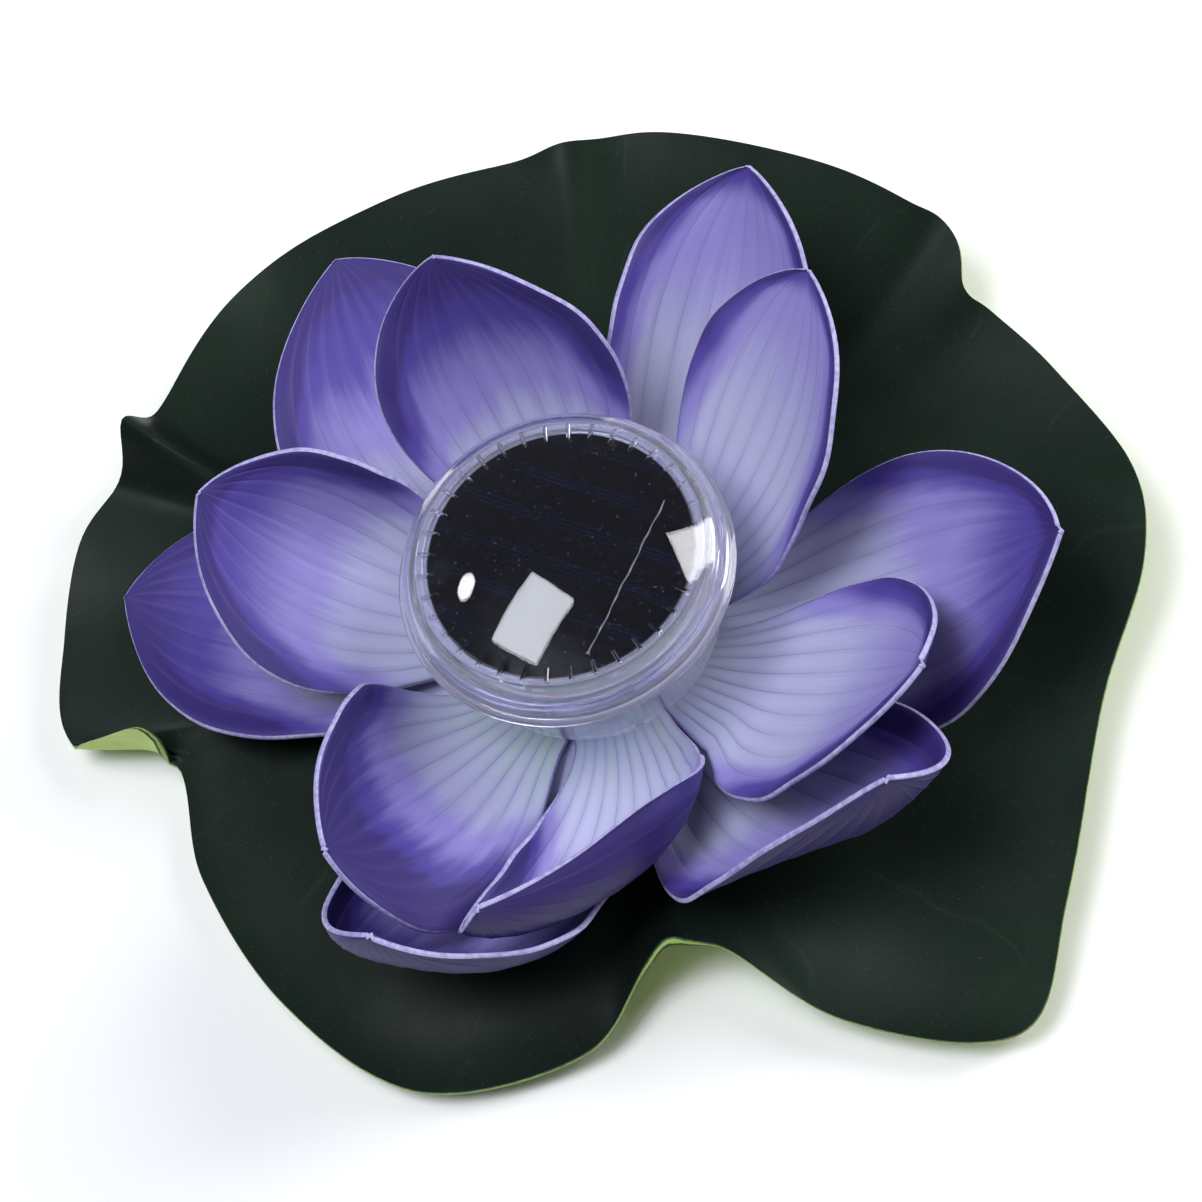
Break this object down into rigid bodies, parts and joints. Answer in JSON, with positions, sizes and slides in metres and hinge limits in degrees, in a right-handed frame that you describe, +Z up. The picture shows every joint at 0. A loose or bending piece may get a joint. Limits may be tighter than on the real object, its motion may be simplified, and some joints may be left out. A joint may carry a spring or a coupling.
{
  "type": "floating pool light",
  "caption": "Floating solar pool light: a foam water lily and lily pad clamped round a clear domed lamp with a screw cap, a retaining nut and a push switch underneath.",
  "frame": {"origin": "in the middle of the object's box in X and Y, at the flat underside of the retaining nut that the light stands on; the lamp's axis is at X 0.7 mm, Y -8.9 mm", "axes": "+Z up along the lamp's axis; -Y is the side that faces the viewer"},
  "size_m": [0.2779, 0.2903, 0.0796],
  "materials": {
    "clear_cap": "clear moulded plastic, polished",
    "clear_bowl": "clear moulded plastic, slightly hazy",
    "nut_plastic": "clear moulded plastic",
    "solar_black": "dark cells under clear resin",
    "petal_foam": "dyed closed-cell foam, violet to pale lilac",
    "pad_foam": "printed closed-cell foam, dark green over lime",
    "rubber_grey": "soft rubber",
    "board_green": "solder-masked board",
    "led_lens": "clear LED lens",
    "black_plastic": "moulded, satin",
    "grey_plastic": "moulded, satin",
    "ferrite": "dark ferrite",
    "cell_wrap": "shrink sleeve, plain",
    "brass": "sprung brass",
    "steel": "plated steel",
    "red_lead": "insulated lead",
    "black_lead": "insulated lead"
  },
  "bodies": {
    "lamp": {"lower_bowl": "clear_bowl", "panel_carrier": "clear_bowl", "panel_clamp_ring": "clear_cap", "solar_panel": "solar_black", "lily_pad": "pad_foam", "circuit_board": "board_green", "led": "led_lens", "controller_chip": "black_plastic", "boost_inductor": "ferrite", "battery_cell": "cell_wrap", "battery_cradle": "black_plastic", "contact_plate": "brass", "contact_spring": "brass", "panel_lead_red": "red_lead", "panel_lead_black": "black_lead", "switch_lead_1": "red_lead", "switch_lead_2": "black_lead", "battery_lead_red": "red_lead", "battery_lead_black": "black_lead", "board_screw_1": "steel", "board_screw_2": "steel", "carrier_screw_1": "steel", "carrier_screw_2": "steel", "carrier_screw_3": "steel", "switch_housing": "grey_plastic", "petal_inner_1": "petal_foam", "petal_inner_2": "petal_foam", "petal_inner_3": "petal_foam", "petal_inner_4": "petal_foam", "petal_inner_5": "petal_foam", "petal_inner_6": "petal_foam", "petal_outer_1": "petal_foam", "petal_outer_2": "petal_foam", "petal_outer_3": "petal_foam", "petal_outer_4": "petal_foam", "petal_outer_5": "petal_foam", "petal_outer_6": "petal_foam"},
    "cap_seal": {"cap_gasket": "rubber_grey"},
    "cap": {"dome_cap": "clear_cap"},
    "nut_seal": {"nut_washer": "rubber_grey"},
    "nut": {"retaining_nut": "nut_plastic"},
    "button": {"switch_button": "black_plastic"}
  },
  "joints": [
    {"name": "cap_lift", "type": "slide", "parent": "lamp", "child": "cap_seal", "axis": [0, 0, 1], "range_m": [0, 0.003]},
    {"name": "cap_turn", "type": "hinge", "parent": "cap_seal", "child": "cap", "pos_m": [0.0007, -0.0089, 0.06], "axis": [0, 0, 1], "range_deg": [0, 360]},
    {"name": "nut_travel", "type": "slide", "parent": "lamp", "child": "nut_seal", "axis": [0, 0, -1], "range_m": [0, 0.005]},
    {"name": "nut_turn", "type": "hinge", "parent": "nut_seal", "child": "nut", "pos_m": [0.0007, -0.0089, 0.005], "axis": [0, 0, -1], "range_deg": [0, 450]},
    {"name": "switch_press", "type": "slide", "parent": "lamp", "child": "button", "axis": [0, 0, 1], "range_m": [0, 0.0012], "stiffness_N_per_m": 900, "springref_m": -0.0005}
  ],
  "couplings": [
    {"joint": "cap_lift", "follows": "cap_turn", "m_per_rad": 0.00047746},
    {"joint": "nut_travel", "follows": "nut_turn", "m_per_rad": 0.00063662}
  ]
}
